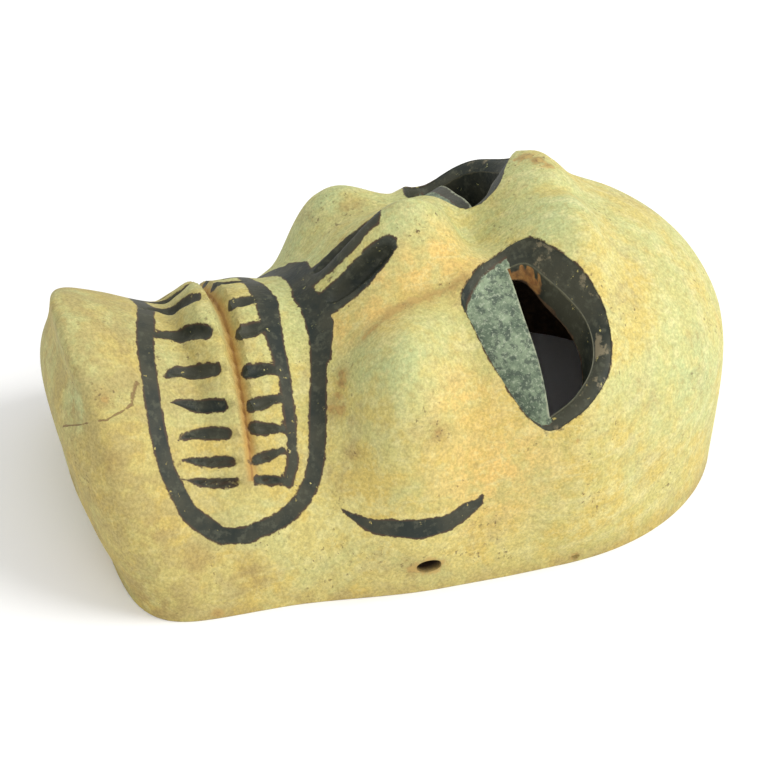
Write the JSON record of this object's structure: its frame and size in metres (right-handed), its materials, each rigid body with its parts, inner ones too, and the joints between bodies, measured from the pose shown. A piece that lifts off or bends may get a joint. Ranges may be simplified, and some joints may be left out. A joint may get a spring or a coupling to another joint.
{
  "type": "carved wooden skull mask",
  "caption": "Hollow carved wooden skull mask with pierced eye sockets, bared teeth and a long chin, painted cream and black, lying face up on its rim.",
  "frame": {"origin": "middle of the footprint of the rim, at the level that the mask lies on", "axes": "+X to the mask's own left, +Y from the chin to the crown, +Z out of the face"},
  "size_m": [0.1708, 0.2638, 0.1173],
  "materials": {
    "painted_wood": "old matt cream paint with brushed charcoal-black lines, grey-green paint in the eye sockets, worn to orange-brown wood in the bite and on high points; bare tool-marked wood inside"
  },
  "bodies": {
    "root": {"mask": "painted_wood"}
  },
  "joints": []
}
